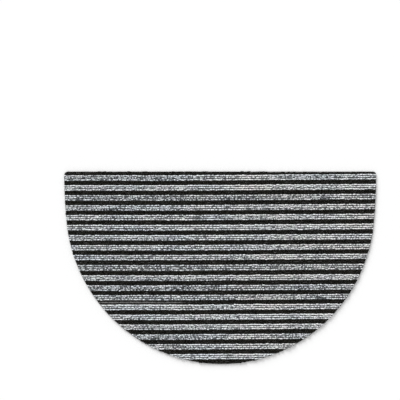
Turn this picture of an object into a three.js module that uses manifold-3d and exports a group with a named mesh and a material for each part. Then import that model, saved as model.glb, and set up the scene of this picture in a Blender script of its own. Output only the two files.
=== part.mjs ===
// A half-round kitchen mat of tufted loop pile, lying flat. Millimetres, +Z up.
// Its straight edge faces +Y and its round front faces -Y. The origin is the middle of its underside.
// The mat is one piece of cloth: the backing and the rows of pile tufted into it are one solid.

import * as THREE from "three";
import { mergeVertices } from "three/addons/utils/BufferGeometryUtils.js";
import Module from "manifold-3d";

const wasm = await Module();
wasm.setup();

// Outline
const WIDTH = 750; // at its widest, a little in front of the straight edge
const DEPTH = 463; // from the straight edge to the foremost point
const NOSE = { radius: 350, turn: 12 }; // the foremost stretch, and the degrees it turns on each side
const FRONT_RADIUS = 376.5; // the round front on both sides of it
const SIDE_RADIUS = 1300; // the flatter sides, which run into the front
const CORNER_RADIUS = { left: 9, right: 7 }; // the two ends of the straight edge
const CUT_SKEW = 3; // how far the cutter wandered to +X by the foremost point
const OUTLINE_STEP = 13; // the longest straight piece of the outline

// Pile
const GAUGE = 4.78; // from one row of loops to the next
const FIRST_ROW = 1.4; // the first row's middle on the left, in from the straight edge
const BOW = 1.2; // how far the rows midway sit towards the front
const BASE = 4.6; // how high the grooves between the rows stand
const SHOULDER = { out: 0.3 * GAUGE, drop: 0.45 }; // where a row's round top begins to fall away
const REPEAT = [
  { yarn: "black", crest: 5.6 },
  { yarn: "black", crest: 5.6 },
  { yarn: "grey", crest: 6.4 },
  { yarn: "grey", crest: 6.4 },
  { yarn: "grey", crest: 6.4 },
];

// The rows run straight on the left and climb towards the straight edge on the right.
const CLIMB = { from: -96, to: 375, rise: 3.35 };
const CLIMB_STEPS = 6;

// The mat's side from the floor up: the backing is cut square and the pile rounds off at the top.
const RIM = [
  { height: 0, inset: 0.3 },
  { height: 0.6, inset: 0 },
  { height: 4.4, inset: 0 },
  { height: 5.8, inset: 0.7 },
  { height: 6.8, inset: 2.1 },
];

const SPARE = 10; // how far the rows are made past the outline before they are cut to it

const edgeY = DEPTH / 2;
const climb = (x) => CLIMB.rise * Math.max((x - CLIMB.from) / (CLIMB.to - CLIMB.from), 0);

const bowed = (y) => y - BOW * Math.cos((Math.PI * y) / DEPTH) ** 2;

// Points on an arc, without its last point, so that arcs can follow each other.
function arcPoints(centre, radius, fromAngle, toAngle) {
  const steps = Math.ceil((Math.abs(toAngle - fromAngle) * radius) / OUTLINE_STEP);
  return Array.from({ length: Math.max(steps, 3) }, (_, i) => {
    const angle = THREE.MathUtils.lerp(fromAngle, toAngle, i / Math.max(steps, 3));
    return new THREE.Vector2(
      centre.x + radius * Math.cos(angle),
      centre.y + radius * Math.sin(angle),
    );
  });
}

// One half of the outline, drawn as the right one, from the straight edge round to the foremost point. It is
// four arcs that run into each other: the corner, the side, the front and the nose.
function half(cornerRadius) {
  const noseTurn = THREE.MathUtils.degToRad(NOSE.turn);
  const nose = new THREE.Vector2(0, -DEPTH / 2 + NOSE.radius);
  const frontOffset = FRONT_RADIUS - NOSE.radius;
  const front = new THREE.Vector2(
    nose.x - frontOffset * Math.sin(noseTurn),
    nose.y + frontOffset * Math.cos(noseTurn),
  );
  const sideX = WIDTH / 2 - SIDE_RADIUS;
  const sideY =
    front.y + Math.sqrt((SIDE_RADIUS - FRONT_RADIUS) ** 2 - (sideX - front.x) ** 2);
  const side = new THREE.Vector2(sideX, sideY);
  const cornerY = edgeY - cornerRadius;
  const cornerX = side.x + Math.sqrt((SIDE_RADIUS - cornerRadius) ** 2 - (cornerY - side.y) ** 2);
  const corner = new THREE.Vector2(cornerX, cornerY);
  const cornerToSide = Math.atan2(corner.y - side.y, corner.x - side.x);
  const sideToFront = Math.atan2(front.y - side.y, front.x - side.x);
  const frontToNose = noseTurn - Math.PI / 2;
  return [
    ...arcPoints(corner, cornerRadius, Math.PI / 2, cornerToSide),
    ...arcPoints(side, SIDE_RADIUS, cornerToSide, sideToFront),
    ...arcPoints(front, FRONT_RADIUS, sideToFront, frontToNose),
    ...arcPoints(nose, NOSE.radius, frontToNose, -Math.PI / 2),
  ];
}

// The whole outline, anticlockwise seen from above, with the cutter's skew.
function outline() {
  const right = half(CORNER_RADIUS.right);
  const left = half(CORNER_RADIUS.left).map((p) => new THREE.Vector2(-p.x, p.y));
  const foremost = new THREE.Vector2(0, -DEPTH / 2);
  const whole = [...left, foremost, ...right.reverse()];
  return whole.map((p) => new THREE.Vector2(p.x + CUT_SKEW * ((edgeY - p.y) / DEPTH) ** 2, p.y));
}

// An outline moved inwards by the same distance all round.
function insetOutline(points, inset) {
  return points.map((p, i) => {
    const before = points[(i + points.length - 1) % points.length];
    const after = points[(i + 1) % points.length];
    const along = after.clone().sub(before).normalize();
    return new THREE.Vector2(p.x - along.y * inset, p.y + along.x * inset);
  });
}

// A closed stack of rings: the mat's side, with a flat bottom and a flat top.
function rimSolid() {
  const flat = outline();
  const count = flat.length;
  const rings = RIM.map(({ height, inset }) =>
    insetOutline(flat, inset).map((p) => new THREE.Vector3(p.x, p.y, height)),
  );
  const triangles = [];
  for (let ring = 0; ring < RIM.length - 1; ring++) {
    for (let i = 0; i < count; i++) {
      const here = ring * count + i;
      const next = ring * count + ((i + 1) % count);
      triangles.push(here, next, here + count, next, next + count, here + count);
    }
  }
  const topStart = (RIM.length - 1) * count;
  for (const [a, b, c] of THREE.ShapeUtils.triangulateShape(flat, [])) {
    triangles.push(a, c, b);
    triangles.push(topStart + a, topStart + b, topStart + c);
  }
  const geometry = new THREE.BufferGeometry().setFromPoints(rings.flat());
  geometry.setIndex(triangles);
  return geometry;
}

// The cloth's section across the rows: a flat underside, and one round rib for each row of loops.
function clothSection() {
  const rows = Math.ceil((DEPTH + 2 * SPARE) / GAUGE);
  const spareRows = Math.ceil(SPARE / GAUGE);
  const section = new THREE.Shape();
  const backY = edgeY - FIRST_ROW + (spareRows + 0.5) * GAUGE;
  const frontY = backY - rows * GAUGE;
  section.moveTo(frontY, 0);
  section.lineTo(backY, 0);
  section.lineTo(backY, BASE);
  for (let i = 0; i < rows; i++) {
    const place = (((i - spareRows) % REPEAT.length) + REPEAT.length) % REPEAT.length;
    const { crest } = REPEAT[place];
    const middle = bowed(backY - (i + 0.5) * GAUGE);
    section.lineTo(middle + SHOULDER.out, crest - SHOULDER.drop);
    section.lineTo(middle, crest);
    section.lineTo(middle - SHOULDER.out, crest - SHOULDER.drop);
    section.lineTo(bowed(backY - (i + 1) * GAUGE), BASE);
  }
  return section;
}

// The rows of pile over their backing, wider than the mat, with the climb that the tufting gave them.
function rowsSolid() {
  const length = WIDTH + 2 * SPARE;
  const geometry = new THREE.ExtrudeGeometry(clothSection(), {
    depth: length,
    steps: CLIMB_STEPS,
    bevelEnabled: false,
  });
  const position = geometry.getAttribute("position");
  for (let i = 0; i < position.count; i++) {
    const across = position.getX(i);
    const up = position.getY(i);
    const x = position.getZ(i) - length / 2;
    position.setXYZ(i, x, across + climb(x), up);
  }
  return geometry;
}

function toSolid(geometry) {
  const bare = geometry.clone();
  bare.deleteAttribute("normal");
  bare.deleteAttribute("uv");
  const merged = mergeVertices(bare, 1e-4);
  return new wasm.Manifold(
    new wasm.Mesh({
      numProp: 3,
      vertProperties: new Float32Array(merged.getAttribute("position").array),
      triVerts: new Uint32Array(merged.index.array),
    }),
  );
}

function toGeometry(solid) {
  const { vertProperties, triVerts } = solid.getMesh();
  const geometry = new THREE.BufferGeometry();
  geometry.setAttribute("position", new THREE.BufferAttribute(vertProperties, 3));
  geometry.setIndex(new THREE.BufferAttribute(triVerts, 1));
  return geometry;
}

const mat = new THREE.Mesh(
  toGeometry(toSolid(rimSolid()).intersect(toSolid(rowsSolid()))),
  new THREE.MeshStandardMaterial({
    color: 0x777a7c,
    roughness: 0.95,
    metalness: 0,
    flatShading: true,
  }),
);
mat.name = "mat";

const kitchenMat = new THREE.Group();
kitchenMat.add(mat);

export default kitchenMat;
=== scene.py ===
# Half-round kitchen mat in striped loop pile, laid flat. Metres, +Z up.
import math

import bpy
import numpy as np
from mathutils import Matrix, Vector


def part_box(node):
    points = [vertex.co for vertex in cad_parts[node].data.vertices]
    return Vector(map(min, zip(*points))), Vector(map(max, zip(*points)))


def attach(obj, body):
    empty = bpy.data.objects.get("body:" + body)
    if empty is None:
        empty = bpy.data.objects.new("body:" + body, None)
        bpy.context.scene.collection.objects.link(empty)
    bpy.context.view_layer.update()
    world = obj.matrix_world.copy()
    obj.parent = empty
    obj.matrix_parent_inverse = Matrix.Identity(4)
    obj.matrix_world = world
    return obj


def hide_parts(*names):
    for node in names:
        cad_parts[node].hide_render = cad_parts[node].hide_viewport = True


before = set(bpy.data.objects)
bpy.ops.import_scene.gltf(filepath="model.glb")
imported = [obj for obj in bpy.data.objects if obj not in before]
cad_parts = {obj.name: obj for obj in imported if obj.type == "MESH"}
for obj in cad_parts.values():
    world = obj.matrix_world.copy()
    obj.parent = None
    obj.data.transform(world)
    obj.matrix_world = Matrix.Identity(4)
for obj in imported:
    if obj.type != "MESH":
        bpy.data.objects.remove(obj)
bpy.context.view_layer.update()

matLow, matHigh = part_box("mat")
matWidth, matDepth = matHigh.x - matLow.x, matHigh.y - matLow.y
edgeY = matHigh.y  # the straight edge


# Shader nodes

class Wire:
    # One output of a node, which can be written in sums.
    def __init__(self, finish, socket):
        self.finish, self.socket = finish, socket

    def math(self, operation, first, second=0.0):
        return self.finish.node("ShaderNodeMath", {"operation": operation}, {0: first, 1: second})

    def __add__(self, other):
        return self.math("ADD", self, other)

    def __radd__(self, other):
        return self.math("ADD", other, self)

    def __sub__(self, other):
        return self.math("SUBTRACT", self, other)

    def __rsub__(self, other):
        return self.math("SUBTRACT", other, self)

    def __mul__(self, other):
        return self.math("MULTIPLY", self, other)

    def __rmul__(self, other):
        return self.math("MULTIPLY", other, self)

    def fraction(self):
        return self.math("FRACT", self)

    def floor(self):
        return self.math("FLOOR", self)

    def wave(self):
        return self.math("SINE", self)

    def size(self):
        return self.math("ABSOLUTE", self)


class Finish:
    # A material and the one way to add a node to it.
    sheenRoughness = 0.6
    noiseRoughness = 0.6

    def __init__(self, name, roughness, sheen=0.0, gloss=0.2):
        self.material = bpy.data.materials.new(name)
        self.material.use_nodes = True
        self.tree = self.material.node_tree
        self.shader = self.tree.nodes["Principled BSDF"]
        self.shader.inputs["Roughness"].default_value = roughness
        self.shader.inputs["Specular IOR Level"].default_value = gloss
        self.shader.inputs["Sheen Weight"].default_value = sheen
        self.shader.inputs["Sheen Roughness"].default_value = self.sheenRoughness

    def feed(self, socket, value):
        if isinstance(value, Wire):
            self.tree.links.new(value.socket, socket)
        else:
            socket.default_value = value

    def node(self, kind, settings, sockets, output=0):
        made = self.tree.nodes.new(kind)
        for name, value in settings.items():
            if name == "stops":
                while len(made.color_ramp.elements) < len(value):
                    made.color_ramp.elements.new(0.5)
                for element, (place, colour) in zip(made.color_ramp.elements, value):
                    element.position = place
                    element.color = (*colour, 1.0)
            else:
                setattr(made, name, value)
        for key, value in sockets.items():
            self.feed(made.inputs[key], value)
        return Wire(self, made.outputs[output])

    def split(self, vector):
        first = self.node("ShaderNodeSeparateXYZ", {}, {"Vector": vector})
        return first, Wire(self, first.socket.node.outputs[1])

    def place(self):
        # metres along and across the mat
        return self.split(self.node("ShaderNodeTexCoord", {}, {}, output=3))

    def noise(self, along, across, detail=1.0):
        vector = self.node("ShaderNodeCombineXYZ", {}, {"X": along, "Y": across})
        return self.node(
            "ShaderNodeTexNoise", {"noise_dimensions": "2D"},
            {"Vector": vector, "Scale": 1.0, "Detail": detail, "Roughness": self.noiseRoughness},
        )

    def chance(self, number):
        return self.node("ShaderNodeTexWhiteNoise", {"noise_dimensions": "1D"}, {"W": number})

    def between(self, value, start, end, first, second):
        return self.node(
            "ShaderNodeMapRange", {"interpolation_type": "SMOOTHSTEP"},
            {"Value": value, 1: start, 2: end, 3: first, 4: second},
        )

    def ramp(self, stops, value):
        return self.node("ShaderNodeValToRGB", {"stops": stops}, {"Fac": value})

    def tinted(self, colour, red, green, blue):
        tint = self.node("ShaderNodeCombineColor", {}, {0: red, 1: green, 2: blue})
        return self.node(
            "ShaderNodeMix", {"data_type": "RGBA", "blend_type": "MULTIPLY"},
            {"Factor": 1.0, 6: colour, 7: tint}, output=2,
        )

    def wear(self, colour, height, reach, strength):
        self.feed(self.shader.inputs["Base Color"], colour)
        bump = self.node(
            "ShaderNodeBump", {}, {"Strength": strength, "Distance": reach, "Height": height}
        )
        self.feed(self.shader.inputs["Normal"], bump)
        return self.material


# The mat's outline, as it was cut

cut = {
    "noseRadius": 0.350,  # the foremost stretch
    "noseTurn": 12,  # the degrees that it turns on each side
    "frontRadius": 0.3765,  # the round front on both sides of it
    "sideRadius": 1.300,  # the flatter sides, which run into the front
    "leftCorner": 0.009,  # the two ends of the straight edge
    "rightCorner": 0.007,
    "skew": 0.003,  # how far the cutter wandered to +X by the foremost point
    "leastSteps": 4,  # of an arc, where the outline is drawn as a line
}
noseTurn = math.radians(cut["noseTurn"])
noseY = matLow.y + cut["noseRadius"]
noseJoinY = noseY - cut["noseRadius"] * math.cos(noseTurn)
frontX = -(cut["frontRadius"] - cut["noseRadius"]) * math.sin(noseTurn)
frontY = noseY + (cut["frontRadius"] - cut["noseRadius"]) * math.cos(noseTurn)
sideX = matWidth / 2 - cut["sideRadius"]
sideY = frontY + math.sqrt((cut["sideRadius"] - cut["frontRadius"]) ** 2 - (sideX - frontX) ** 2)
frontJoinY = sideY + (frontY - sideY) * cut["sideRadius"] / (cut["sideRadius"] - cut["frontRadius"])


def cornerCentre(corner):
    y = edgeY - corner
    return sideX + np.sqrt((cut["sideRadius"] - corner) ** 2 - (y - sideY) ** 2), y


def skewAt(y):
    return cut["skew"] * ((edgeY - y) / matDepth) ** 2


def halfWidthAt(y, corner):
    cornerX, cornerY = cornerCentre(corner)
    cornerJoinY = sideY + (cornerY - sideY) * cut["sideRadius"] / (cut["sideRadius"] - corner)
    if y > cornerJoinY:
        centreX, centreY, radius = cornerX, cornerY, corner
    elif y > frontJoinY:
        centreX, centreY, radius = sideX, sideY, cut["sideRadius"]
    elif y > noseJoinY:
        centreX, centreY, radius = frontX, frontY, cut["frontRadius"]
    else:
        centreX, centreY, radius = 0.0, noseY, cut["noseRadius"]
    return centreX + math.sqrt(max(radius ** 2 - (y - centreY) ** 2, 0))


def rimDistance(x, y):
    # how far points lie inside the outline, below 0 outside it, and the way out
    x = x - skewAt(y)
    out, reach = np.sign(x), np.abs(x)
    corner = np.where(x < 0, cut["leftCorner"], cut["rightCorner"])
    cornerX, cornerY = cornerCentre(corner)
    inCorner = (reach > cornerX) & (y > cornerY)
    places = [inCorner, y < noseJoinY, y < frontJoinY]
    centreX = np.select(places, [cornerX, 0.0, frontX], sideX)
    centreY = np.select(places, [cornerY, noseY, frontY], sideY)
    radius = np.select(places, [corner, cut["noseRadius"], cut["frontRadius"]], cut["sideRadius"])
    fromCentre = np.maximum(np.hypot(reach - centreX, y - centreY), 1e-9)
    curved = radius - fromCentre
    straight = np.where(inCorner, curved, edgeY - y)
    nearEdge = straight < curved
    outX = np.where(nearEdge, 0.0, out * (reach - centreX) / fromCentre)
    outY = np.where(nearEdge, 1.0, (y - centreY) / fromCentre)
    return np.where(nearEdge, straight, curved), outX, outY


def halfOutline(corner, step):
    # one half, drawn as the right one, from the straight edge round to the foremost point
    cornerX, cornerY = cornerCentre(corner)
    toSide = math.atan2(cornerY - sideY, cornerX - sideX)
    toFront = math.atan2(frontY - sideY, frontX - sideX)
    toNose = noseTurn - math.pi / 2
    points = []
    for centre, radius, start, end in (
        ((cornerX, cornerY), corner, math.pi / 2, toSide),
        ((sideX, sideY), cut["sideRadius"], toSide, toFront),
        ((frontX, frontY), cut["frontRadius"], toFront, toNose),
        ((0.0, noseY), cut["noseRadius"], toNose, -math.pi / 2),
    ):
        count = max(cut["leastSteps"], math.ceil(abs(end - start) * radius / step))
        angles = start + (end - start) * np.arange(count) / count
        points.append(radius * np.stack([np.cos(angles), np.sin(angles)], 1) + centre)
    return np.concatenate(points)


def outlinePoints(step):
    left = halfOutline(cut["leftCorner"], step) * (-1, 1)
    right = halfOutline(cut["rightCorner"], step)
    points = np.concatenate([left, [(0, matLow.y)], right[::-1]])
    points[:, 0] += skewAt(points[:, 1])
    return points


# Backing cloth, coated underneath

cloth = {
    "sides": [  # the cut side from the floor up: height, how far in, and the layer above it
        {"height": 0.0000, "inset": 0.0003, "layer": "coating"},
        {"height": 0.0006, "inset": 0.0000, "layer": "coating"},
        {"height": 0.0013, "inset": 0.0000, "layer": "coating"},
        {"height": 0.0015, "inset": 0.0002, "layer": "ground"},
        {"height": 0.0017, "inset": 0.0000, "layer": "ground"},
        {"height": 0.0022, "inset": 0.0001, "layer": "ground"},
    ],
    "outlineStep": 0.004,
    "relief": 0.0003,  # of the threads
}
ground = {
    "roughness": 0.95,
    "tones": [(0.2, (0.118, 0.116, 0.113)), (0.8, (0.300, 0.296, 0.290))],
    "threads": 2600.0,
    "threadTone": 0.2,
    "blotches": 90.0,
    "strength": 0.6,  # of the relief
}
coating = {
    "roughness": 0.8,
    "tones": [(0.3, (0.030, 0.030, 0.032)), (1.0, (0.062, 0.062, 0.064))],
    "threads": 1250.0,
    "threadTone": 0.3,
    "blotches": 60.0,
    "blotchRelief": 1.5,
    "strength": 0.5,
}
clothTop = cloth["sides"][-1]["height"]


def makeCloth():
    outline = outlinePoints(cloth["outlineStep"])
    _, outX, outY = rimDistance(outline[:, 0], outline[:, 1])
    outward = np.stack([outX, outY], 1)
    rings = [
        np.column_stack([outline - outward * side["inset"], np.full(len(outline), side["height"])])
        for side in cloth["sides"]
    ]
    count = len(outline)
    topStart = (len(rings) - 1) * count
    faces = [list(range(count))[::-1], [topStart + i for i in range(count)]]
    layers = ["coating", "ground"]
    for ring, side in enumerate(cloth["sides"][:-1]):
        for i in range(count):
            here, after = ring * count + i, ring * count + (i + 1) % count
            faces.append([here, after, after + count, here + count])
            layers.append(side["layer"])
    mesh = bpy.data.meshes.new("mat-cloth")
    mesh.from_pydata(np.concatenate(rings).tolist(), [], faces)
    mesh.materials.append(groundFinish())
    mesh.materials.append(coatingFinish())
    mesh.polygons.foreach_set("material_index", [1 if layer == "coating" else 0 for layer in layers])
    piece = bpy.data.objects.new("mat-cloth", mesh)
    bpy.context.collection.objects.link(piece)
    x, y = outline.T
    area = 0.5 * abs(np.sum(x * np.roll(y, -1) - y * np.roll(x, -1)))
    return piece, float(area)


def groundFinish():
    finish = Finish("ground cloth", ground["roughness"])
    along, across = finish.place()
    weave = (along * ground["threads"]).wave() * (across * ground["threads"]).wave()
    blotch = finish.noise(along * ground["blotches"], across * ground["blotches"], 2.0)
    colour = finish.ramp(ground["tones"], weave * ground["threadTone"] + blotch)
    return finish.wear(colour, weave, cloth["relief"], ground["strength"])


def coatingFinish():
    finish = Finish("coated backing", coating["roughness"])
    along, across = finish.place()
    warp = (along * coating["threads"]).wave()
    weft = (across * coating["threads"]).wave()
    blotch = finish.noise(along * coating["blotches"], across * coating["blotches"], 3.0)
    relief = warp * warp + weft * weft + blotch * coating["blotchRelief"]
    colour = finish.ramp(coating["tones"], relief * coating["threadTone"])
    return finish.wear(colour, relief, cloth["relief"], coating["strength"])


# Pile of loops, tufted in rows along X

pile = {
    "gauge": 0.004775,  # from one row to the next
    "firstRow": 0.0012,  # the first row's middle on the left, in from the straight edge
    "bow": 0.0012,  # how far the rows midway sit towards the front
    "stitch": 0.0066,  # a usual loop along its row
    "stitchSpread": 0.3,
    "foot": 0.0013,  # a loop's legs end inside the backing
    "halfThick": 0.00118,  # of the yarn along its own loop
    "legInset": 0.0005,
    "legShare": 0.82,  # how thick a leg is, next to the top of its loop
    "swell": 0.5,  # how soon it thickens on the way up
    "archAlong": 0.7,  # how squarely a loop turns over
    "archUp": 0.48,
    "plies": 3,
    "twist": 0.0095,  # yarn for one turn of its plies
    "plyRelief": 0.09,
    "cone": 3.0,  # yarn kept for each row, from its own cone
    "slackShare": 0.7,  # of a loop's length along the row, in the yarn that it takes
    "seed": 100,
    "sliver": 0.0007,  # a cut row falls out where its middle is further than this past the outline
    "cutPast": 0.0007,  # a row's last loops reach the outline and are cut through there
    "rimReach": 0.0030,  # loops this near the cut edge sag
    "rimSag": 0.0002,
}
climb = {"from": -0.096, "to": 0.375, "rise": 0.00335}  # of the rows towards the right
feed = [  # how far a repeat sits towards the straight edge, as the cloth was fed unevenly
    {"repeat": 0, "by": 0.0000},
    {"repeat": 4, "by": 0.0001},
    {"repeat": 5, "by": 0.0009},
    {"repeat": 6, "by": 0.0002},
    {"repeat": 8, "by": 0.0004},
    {"repeat": 9, "by": 0.0010},
    {"repeat": 10, "by": -0.0006},
    {"repeat": 12, "by": -0.0009},
    {"repeat": 13, "by": 0.0003},
    {"repeat": 14, "by": 0.0000},
]
wander = [  # slow waves in a row's line
    {"every": 0.23, "by": 0.00016},
    {"every": 0.071, "by": 0.00008},
]
loose = {  # how far single loops differ
    "across": 0.00022,
    "narrower": 0.12,
    "wider": 0.10,
    "lower": 0.00022,
    "leanAlong": 0.07,
    "leanAcross": 0.11,
    "yaw": 0.06,
    "sway": 1.6,  # which way its plies lean
    "cut": 0.00065,  # how unevenly the knife took them at the outline
    "cutIn": 0.0004,
    "cutLeast": -0.0010,
    "cutMost": 0.0014,
}
yarnRows = {
    "black": {"crest": 0.0056, "halfWidth": 0.0023},
    "grey": {"crest": 0.0064, "halfWidth": 0.00185},
}
stripe = [  # one repeat of needles, back to front; some cones of yarn are a little lighter than others, and most of the first grey row's larger tone is painted light
    {"piece": "pile-black-1", "yarn": "black", "tone": 0.0},
    {"piece": "pile-black-2", "yarn": "black", "tone": 0.0},
    # painted light: most of this tone stands for the key light on the row's back side, clear above the
    # lower black rows
    {"piece": "pile-grey-1", "yarn": "grey", "tone": 0.13},
    {"piece": "pile-grey-2", "yarn": "grey", "tone": 0.02},
    {"piece": "pile-grey-3", "yarn": "grey", "tone": 0.03},
]
parting = {  # two black rows were drawn tight on the left here, and the cloth shows between them
    "repeat": 13,
    "full": -0.130,
    "gone": -0.045,
    "narrow": 0.38,
    "lower": 0.0019,
}

stations = np.array([0.0, 0.155, 0.25, 0.355, 0.5, 0.645, 0.75, 0.845, 1.0]) * math.pi  # along a loop
corners = np.radians([-180, -100, -50, 0, 50, 100])  # round the yarn, from its hidden side


def ease(t):
    t = np.clip(t, 0, 1)
    return t * t * (3 - 2 * t)


def climbAt(x):
    return climb["rise"] * np.maximum((x - climb["from"]) / (climb["to"] - climb["from"]), 0)


def partingAt(row, x):
    # how tight a row is drawn, from 0 to 1
    repeat, needle = divmod(row, len(stripe))
    if repeat != parting["repeat"] or needle > 1:
        return 0 * x
    return ease((parting["gone"] - x) / (parting["gone"] - parting["full"]))


def rowPlace(row):
    # how far back a row's middle is on the left, where the rows run straight
    y = edgeY - pile["firstRow"] - row * pile["gauge"]
    repeats, shifts = [stop["repeat"] for stop in feed], [stop["by"] for stop in feed]
    fed = float(np.interp(row / len(stripe), repeats, shifts))
    return y - pile["bow"] * math.cos(math.pi * y / matDepth) ** 2 + fed


def rowLoops(row, rng):
    # one row of loops: each loop's ends along X, its middle across, and its own small differences
    shape = yarnRows[stripe[row % len(stripe)]["yarn"]]
    rowY = rowPlace(row)
    rightY = rowY + float(climbAt(matWidth / 2))
    leftReach = halfWidthAt(min(rowY + pile["sliver"], edgeY), cut["leftCorner"]) + pile["cutPast"]
    rightReach = halfWidthAt(min(rightY + pile["sliver"], edgeY), cut["rightCorner"]) + pile["cutPast"]
    leftEnd, rightEnd = skewAt(rowY) - leftReach, skewAt(rowY) + rightReach
    count = max(1, round((rightEnd - leftEnd) / pile["stitch"]))
    lengths = 1 + pile["stitchSpread"] * rng.uniform(-1, 1, count)
    ends = leftEnd + (rightEnd - leftEnd) * np.concatenate([[0], np.cumsum(lengths)]) / lengths.sum()
    start, end = ends[:-1], ends[1:]
    middle = (start + end) / 2
    phases = rng.uniform(0, 1, len(wander))
    y = rowY + climbAt(middle) + rng.normal(0, loose["across"], count)
    for wave, phase in zip(wander, phases):
        y += wave["by"] * np.sin(2 * math.pi * (middle / wave["every"] + phase))
    tight = partingAt(row, middle)
    halfWidth = shape["halfWidth"] * (1 + rng.uniform(-loose["narrower"], loose["wider"], count))
    loops = {
        "start": start,
        "end": end,
        "y": y,
        "crest": shape["crest"] - np.abs(rng.normal(0, loose["lower"], count)) - parting["lower"] * tight,
        "halfWidth": halfWidth * (1 - parting["narrow"] * tight),
        "leanX": rng.normal(0, loose["leanAlong"], count),
        "leanY": rng.normal(0, loose["leanAcross"], count),
        "yaw": rng.normal(0, loose["yaw"], count),
        "sway": rng.uniform(-loose["sway"], loose["sway"], count),
        "slip": rng.uniform(0, 1, count),  # turns that the plies make on the mat's back
        "cutIn": rng.normal(loose["cutIn"], loose["cut"], count).clip(loose["cutLeast"], loose["cutMost"]),
    }
    nearest = np.minimum(y + pile["sliver"], edgeY)
    cutOff = (y > edgeY + pile["sliver"]) | (rimDistance(middle, nearest)[0] < 0)
    return {key: values[~cutOff] for key, values in loops.items()}


def loopRings(loops, rowStart):
    # points round every loop of a piece, as loops by rings by corners, and the metres of yarn at each ring
    length = (loops["end"] - loops["start"])[:, None]
    centreX = ((loops["start"] + loops["end"]) / 2)[:, None]
    span = length / 2 - pile["legInset"]
    rise = (loops["crest"] - pile["halfThick"] - pile["foot"])[:, None]
    swing, lift = np.cos(stations), np.sin(stations)
    x = -span * np.sign(swing) * np.abs(swing) ** pile["archAlong"]
    z = pile["foot"] + rise * lift ** pile["archUp"]
    dx, dz = np.gradient(x, axis=1), np.gradient(z, axis=1)
    size = np.hypot(dx, dz)
    steps = np.hypot(np.diff(x), np.diff(z))
    alongLoop = np.concatenate([np.zeros((len(x), 1)), np.cumsum(steps, 1)], 1)
    along = rowStart[:, None] + alongLoop
    turn = corners / (2 * math.pi) * loops["sway"][:, None, None] - (along / pile["twist"])[:, :, None]
    lobe = 1 + pile["plyRelief"] * np.cos(2 * math.pi * pile["plies"] * turn)
    bulk = (pile["legShare"] + (1 - pile["legShare"]) * lift ** pile["swell"])[None, :, None]
    out = pile["halfThick"] * np.cos(corners) * lobe * bulk
    side = loops["halfWidth"][:, None, None] * np.sin(corners) * lobe * bulk
    px = x[:, :, None] - (dz / size)[:, :, None] * out
    pz = z[:, :, None] + (dx / size)[:, :, None] * out
    yaw = loops["yaw"][:, None, None]
    height = np.maximum(pz - clothTop, 0)
    py = side + px * np.sin(yaw) + height * loops["leanY"][:, None, None]
    px = px + height * loops["leanX"][:, None, None] + centreX[:, :, None]
    py = py + loops["y"][:, None, None]
    return trimToOutline(px, py, pz, loops["cutIn"][:, None, None]), along, alongLoop


def tubeMesh(name, loops, rowStart):
    # every loop of a piece as one closed tube; rowStart is the yarn used before each loop
    points, along, alongLoop = loopRings(loops, rowStart)
    loopCount, ringCount, cornerCount = points.shape[:3]
    index = np.arange(loopCount * ringCount * cornerCount).reshape(points.shape[:3])
    nextCorner = np.roll(index, -1, axis=2)
    walls = np.stack([index[:, :-1], nextCorner[:, :-1], nextCorner[:, 1:], index[:, 1:]], -1)
    walls = walls.reshape(loopCount, -1, 4)
    firstCap, lastCap = index[:, 0, ::-1], index[:, -1, :]
    faces = []
    for loop in range(loopCount):
        faces.extend(walls[loop].tolist())
        faces.append(firstCap[loop].tolist())
        faces.append(lastCap[loop].tolist())
    mesh = bpy.data.meshes.new(name)
    mesh.from_pydata(points.reshape(-1, 3).tolist(), [], faces)
    mesh.polygons.foreach_set("use_smooth", np.ones(len(mesh.polygons), bool))
    sway = mesh.attributes.new("sway", "FLOAT", "POINT")
    sway.data.foreach_set("value", np.repeat(loops["sway"], ringCount * cornerCount).astype(np.float32))
    layYarnMap(mesh, along)
    layBakeMap(mesh, alongLoop)
    mesh.update()
    piece = bpy.data.objects.new(name, mesh)
    bpy.context.collection.objects.link(piece)
    return piece


def trimToOutline(px, py, pz, cutIn):
    # loops that the knife met end flat at the outline, and those beside it sag a little
    inside, outX, outY = rimDistance(px, py)
    over = np.maximum(cutIn - inside, 0)
    px, py = px - outX * over, py - outY * over
    near = np.clip(1 - np.maximum(inside, 0) / pile["rimReach"], 0, 1)
    above = np.clip((pz - clothTop) / (matHigh.z - clothTop), 0, 1)
    return np.stack([px, py, pz - pile["rimSag"] * near ** 2 * above], -1)


bakeCell = {  # where a loop's parts lie in its own square cell of the bake map
    "wallSize": (0.74, 0.92),
    "margin": 0.04,
    "endRadius": 0.06,
    "firstEnd": (0.89, 0.25),
    "lastEnd": (0.89, 0.75),
}


def wallPlaces(atRings, atCorners):
    # for the four corners of each wall face, a value along its loop and one round the yarn
    here, after = atRings[:, :-1, None], atRings[:, 1:, None]
    start, end = atCorners[:-1], atCorners[1:]
    pairs = [(here, start), (here, end), (after, end), (after, start)]
    places = [np.stack(np.broadcast_arrays(u, v), -1) for u, v in pairs]
    return np.stack(places, 3).reshape(len(atRings), -1, 2)


def layMap(mesh, name, walls, firstCap, lastCap):
    layer = mesh.uv_layers.new(name=name)
    places = np.concatenate([walls, firstCap, lastCap], 1)
    layer.uv.foreach_set("vector", places.astype(np.float32).ravel())


def layYarnMap(mesh, along):
    # U is metres of yarn, V is -0.5 to 0.5 round it
    turns = np.append(corners, math.pi) / (2 * math.pi)
    ring = turns[:-1]
    firstCap = np.stack(np.broadcast_arrays(along[:, :1], ring[::-1]), -1)
    lastCap = np.stack(np.broadcast_arrays(along[:, -1:], ring), -1)
    layMap(mesh, "yarn", wallPlaces(along, turns), firstCap, lastCap)


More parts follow.
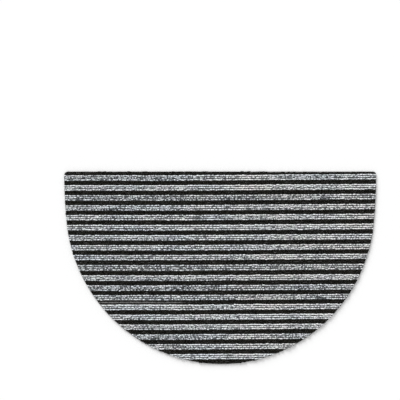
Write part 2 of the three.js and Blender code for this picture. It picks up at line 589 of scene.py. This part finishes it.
def layBakeMap(mesh, alongLoop):
    # each loop has its own square cell: its wall unrolled, with both ends beside it
    loopCount, cornerCount = len(alongLoop), len(corners)
    columns = math.ceil(math.sqrt(loopCount))
    cell = np.stack(np.divmod(np.arange(loopCount), columns), 1)[:, ::-1][:, None, :]
    share = alongLoop / alongLoop[:, -1:]
    unrolled = wallPlaces(share, np.arange(cornerCount + 1) / cornerCount)
    walls = unrolled * bakeCell["wallSize"] + bakeCell["margin"]
    angles = 2 * math.pi * np.arange(cornerCount) / cornerCount
    disc = bakeCell["endRadius"] * np.stack([np.cos(angles), np.sin(angles)], 1)
    firstCap, lastCap = disc[::-1] + bakeCell["firstEnd"], disc + bakeCell["lastEnd"]
    layMap(mesh, "OFBake", *[(part + cell) / columns for part in (walls, firstCap, lastCap)])


def makePile():
    rows = math.ceil(matDepth / pile["gauge"])
    pieces = []
    for needle, facts in enumerate(stripe):
        gathered, used = [], []
        for row in range(needle, rows, len(stripe)):
            loops = rowLoops(row, np.random.default_rng(pile["seed"] + row))
            if not len(loops["y"]):
                continue
            yarn = 2 * (loops["crest"] - pile["foot"])
            yarn += (loops["end"] - loops["start"]) * pile["slackShare"] + pile["twist"] * loops["slip"]
            used.append(pile["cone"] * row + np.cumsum(yarn) - yarn)
            gathered.append(loops)
        joined = {key: np.concatenate([loops[key] for loops in gathered]) for key in gathered[0]}
        piece = tubeMesh(facts["piece"], joined, np.concatenate(used))
        piece.data.materials.append(yarnFinish(facts))
        pieces.append(piece)
        print("pile:", facts["piece"], len(joined["y"]), "loops")
    return pieces


yarns = {  # tones of the plies from dark to light, and how they wear
    "grey": {
        "roughness": 0.92,
        "plies": [
            (0.00, (0.043, 0.048, 0.054)),
            (0.30, (0.210, 0.223, 0.238)),
            (0.38, (0.427, 0.449, 0.467)),
            (0.62, (0.606, 0.633, 0.655)),
            (0.70, (0.820, 0.851, 0.873)),
            (1.00, (0.955, 0.981, 0.993)),
        ],
        "fleck": 0.6,
        "fibres": 0.5,
        "stitches": 0.4,
        "sections": 0.33,
        "ownSections": 0.34,
        "drift": 0.15,
        "cone": 0.24,
        "ownCone": 0.18,
        "lot": 0.04,
        "lotWarmth": 0.011,
        "warmth": 0.105,
        "green": 0.12,
        "least": 0.06,
        "sheen": 0.08,
        "gloss": 0.2,
    },
    "black": {
        "roughness": 0.92,
        "plies": [
            (0.00, (0.0022, 0.0021, 0.0017)),
            (0.50, (0.0125, 0.0119, 0.0095)),
            (1.00, (0.0215, 0.0207, 0.0168)),
        ],
        "fleck": 0.7,
        "fibres": 0.5,
        "stitches": 0.3,
        "sections": 0.25,
        "ownSections": 0.2,
        "drift": 0.10,
        "cone": 0.06,
        "ownCone": 0.04,
        "lot": 0.0,
        "lotWarmth": 0.0,
        "warmth": 0.10,
        "green": 0.08,
        "least": 0.30,
        "sheen": 0.0,
        "gloss": 0.05,
    },
}
grain = [  # lighter and darker yarn; what each is laid on, and how fine it is along and round or across
    {"share": "fleck", "on": "yarn", "along": 450.0, "across": 18.0, "detail": 2.0},
    {"share": "fibres", "on": "yarn", "along": 160.0, "across": 70.0, "detail": 3.0},
    {"share": "stitches", "on": "mat", "along": 350.0, "across": 25.0, "detail": 1.0},
    {"share": "sections", "on": "mat", "along": 14.0, "across": 60.0, "detail": 1.0},
    {"share": "ownSections", "on": "row", "along": 9.0, "across": 7.7, "detail": 1.0},
    {"share": "drift", "on": "mat", "along": 3.5, "across": 10.0, "detail": 1.0},
]
hue = {
    "warmth": {"along": 7.0, "across": 30.0},
    "green": {"along": 50.0, "across": 60.0},
}
plyTones = {
    "least": 0.095,  # the tone of the darkest ply
    "spread": 0.95,  # from it to the lightest
    "uneven": 2.4,  # turns that the twist strays
    "unevenAlong": 110.0,
}
lot = {"from": 0.005, "to": 0.050}  # along X, where cones of a lighter and warmer lot were tied in
shade = {"from": 0.02, "to": 0.25}  # round the yarn: the sides of two rows keep light from each other
yarnRelief = {"height": 0.0004, "plies": 0.5, "strength": 0.8}
coneDraws = {"repeat": 209.5, "row": 0.5}  # which random tones the repeats and rows get
countNudge = 0.01  # keeps a whole number from falling to the one below


def yarnFinish(facts):
    # three twisted plies of their own tones, flecked, darker down the sides of the loops
    yarn = yarns[facts["yarn"]]
    finish = Finish(facts["piece"], yarn["roughness"], yarn["sheen"], yarn["gloss"])
    along, around = finish.split(finish.node("ShaderNodeUVMap", {"uv_map": "yarn"}, {}))
    placeX, placeY = finish.place()
    row = (along * (1 / pile["cone"]) + countNudge).floor()
    laidOn = {"yarn": (along, around), "mat": (placeX, placeY), "row": (placeX, row)}
    sway = finish.node("ShaderNodeAttribute", {"attribute_name": "sway"}, {}, output=2)
    evenTurn = around * sway - along * (1 / pile["twist"])
    uneven = finish.noise(along * plyTones["unevenAlong"], 0.0)
    turn = evenTurn + uneven * plyTones["uneven"]
    # the needle's own lift: yarn tone, and on the first grey row mostly painted light from the key
    tone = ((turn.fraction() - 0.5) * 2.0).size() * plyTones["spread"] + (plyTones["least"] + facts["tone"])
    noises = {}
    for fine in grain:
        first, second = laidOn[fine["on"]]
        noises[fine["share"]] = finish.noise(first * fine["along"], second * fine["across"], fine["detail"])
        tone = tone + (noises[fine["share"]] - 0.5) * yarn[fine["share"]]
    repeat = (row * (1 / len(stripe)) + countNudge).floor()
    tone = tone + (finish.chance(repeat + coneDraws["repeat"]) - 0.5) * yarn["cone"]
    tone = tone + (finish.chance(row + coneDraws["row"]) - 0.5) * yarn["ownCone"]
    newLot = finish.between(placeX, lot["from"], lot["to"], -1.0, 1.0)
    colour = finish.ramp(yarn["plies"], tone + newLot * yarn["lot"])
    lit = finish.between(around.size(), shade["from"], shade["to"], 1.0, yarn["least"])
    warmth, green = [
        (finish.noise(placeX * fine["along"], placeY * fine["across"]) - 0.5) * yarn[name]
        for name, fine in hue.items()
    ]
    warmth = warmth + newLot * yarn["lotWarmth"]
    colour = finish.tinted(colour, lit * (1.0 + warmth), lit * (1.0 + green), lit * (1.0 - warmth))
    plies = (evenTurn * (2 * math.pi * pile["plies"])).wave()
    relief = plies * yarnRelief["plies"] + noises["fibres"]
    return finish.wear(colour, relief, yarnRelief["height"], yarnRelief["strength"])


# Floor, light and camera

studio = {
    "floorSize": 30.0,
    "floorTone": 0.9,
    "floorRoughness": 0.9,
    "sky": 0.70,
    "key": 2.71,
    "keyFrom": (-0.8, 1.5, 0.942),
    "keySpread": 34,  # degrees across
}
view = {
    "metresAPixel": 0.0024046,
    "pixels": 400,
    "middle": (220.13, 267.8),  # the mat's middle in the picture, from its top left
    "distance": 6.0,
    "sensorWidth": 36.0,
    "clipEnd": 100.0,
}


def makeStudio():
    bpy.context.scene.view_settings.view_transform = "Standard"
    world = bpy.data.worlds.new("studio")
    bpy.context.scene.world = world
    world.use_nodes = True
    sky = world.node_tree.nodes["Background"]
    sky.inputs["Color"].default_value = (1.0, 1.0, 1.0, 1.0)
    sky.inputs["Strength"].default_value = studio["sky"]

    half = studio["floorSize"] / 2
    around = [(-half, -half, 0), (half, -half, 0), (half, half, 0), (-half, half, 0)]
    mesh = bpy.data.meshes.new("floor")
    mesh.from_pydata(around, [], [(0, 1, 2, 3)])
    floor = bpy.data.objects.new("floor", mesh)
    bpy.context.collection.objects.link(floor)
    paint = Finish("floor", studio["floorRoughness"], gloss=0.0)
    paint.shader.inputs["Base Color"].default_value = (*[studio["floorTone"]] * 3, 1.0)
    mesh.materials.append(paint.material)

    lamp = bpy.data.lights.new("key", "SUN")
    lamp.energy = studio["key"]
    lamp.angle = math.radians(studio["keySpread"])
    key = bpy.data.objects.new("key", lamp)
    key.rotation_mode = "QUATERNION"
    key.rotation_quaternion = Vector(studio["keyFrom"]).to_track_quat("Z", "Y")
    bpy.context.collection.objects.link(key)


def makeCamera():
    lens = bpy.data.cameras.new("camera")
    lens.sensor_width = view["sensorWidth"]
    lens.lens = lens.sensor_width * view["distance"] / (view["pixels"] * view["metresAPixel"])
    lens.clip_end = view["clipEnd"]
    camera = bpy.data.objects.new("camera", lens)
    across = (view["pixels"] / 2 - view["middle"][0]) * view["metresAPixel"]
    up = (view["middle"][1] - view["pixels"] / 2) * view["metresAPixel"]
    camera.location = (across, up, view["distance"])
    bpy.context.collection.objects.link(camera)
    bpy.context.scene.camera = camera


makeCamera()
makeStudio()
print("studio: floor, key light and camera")

matCloth, clothArea = makeCloth()
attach(matCloth, "root")
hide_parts("mat")
print("cloth:", round(clothArea, 4), "square metres")

pilePieces = makePile()
for piece, facts in zip(pilePieces, stripe):
    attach(piece, "root")
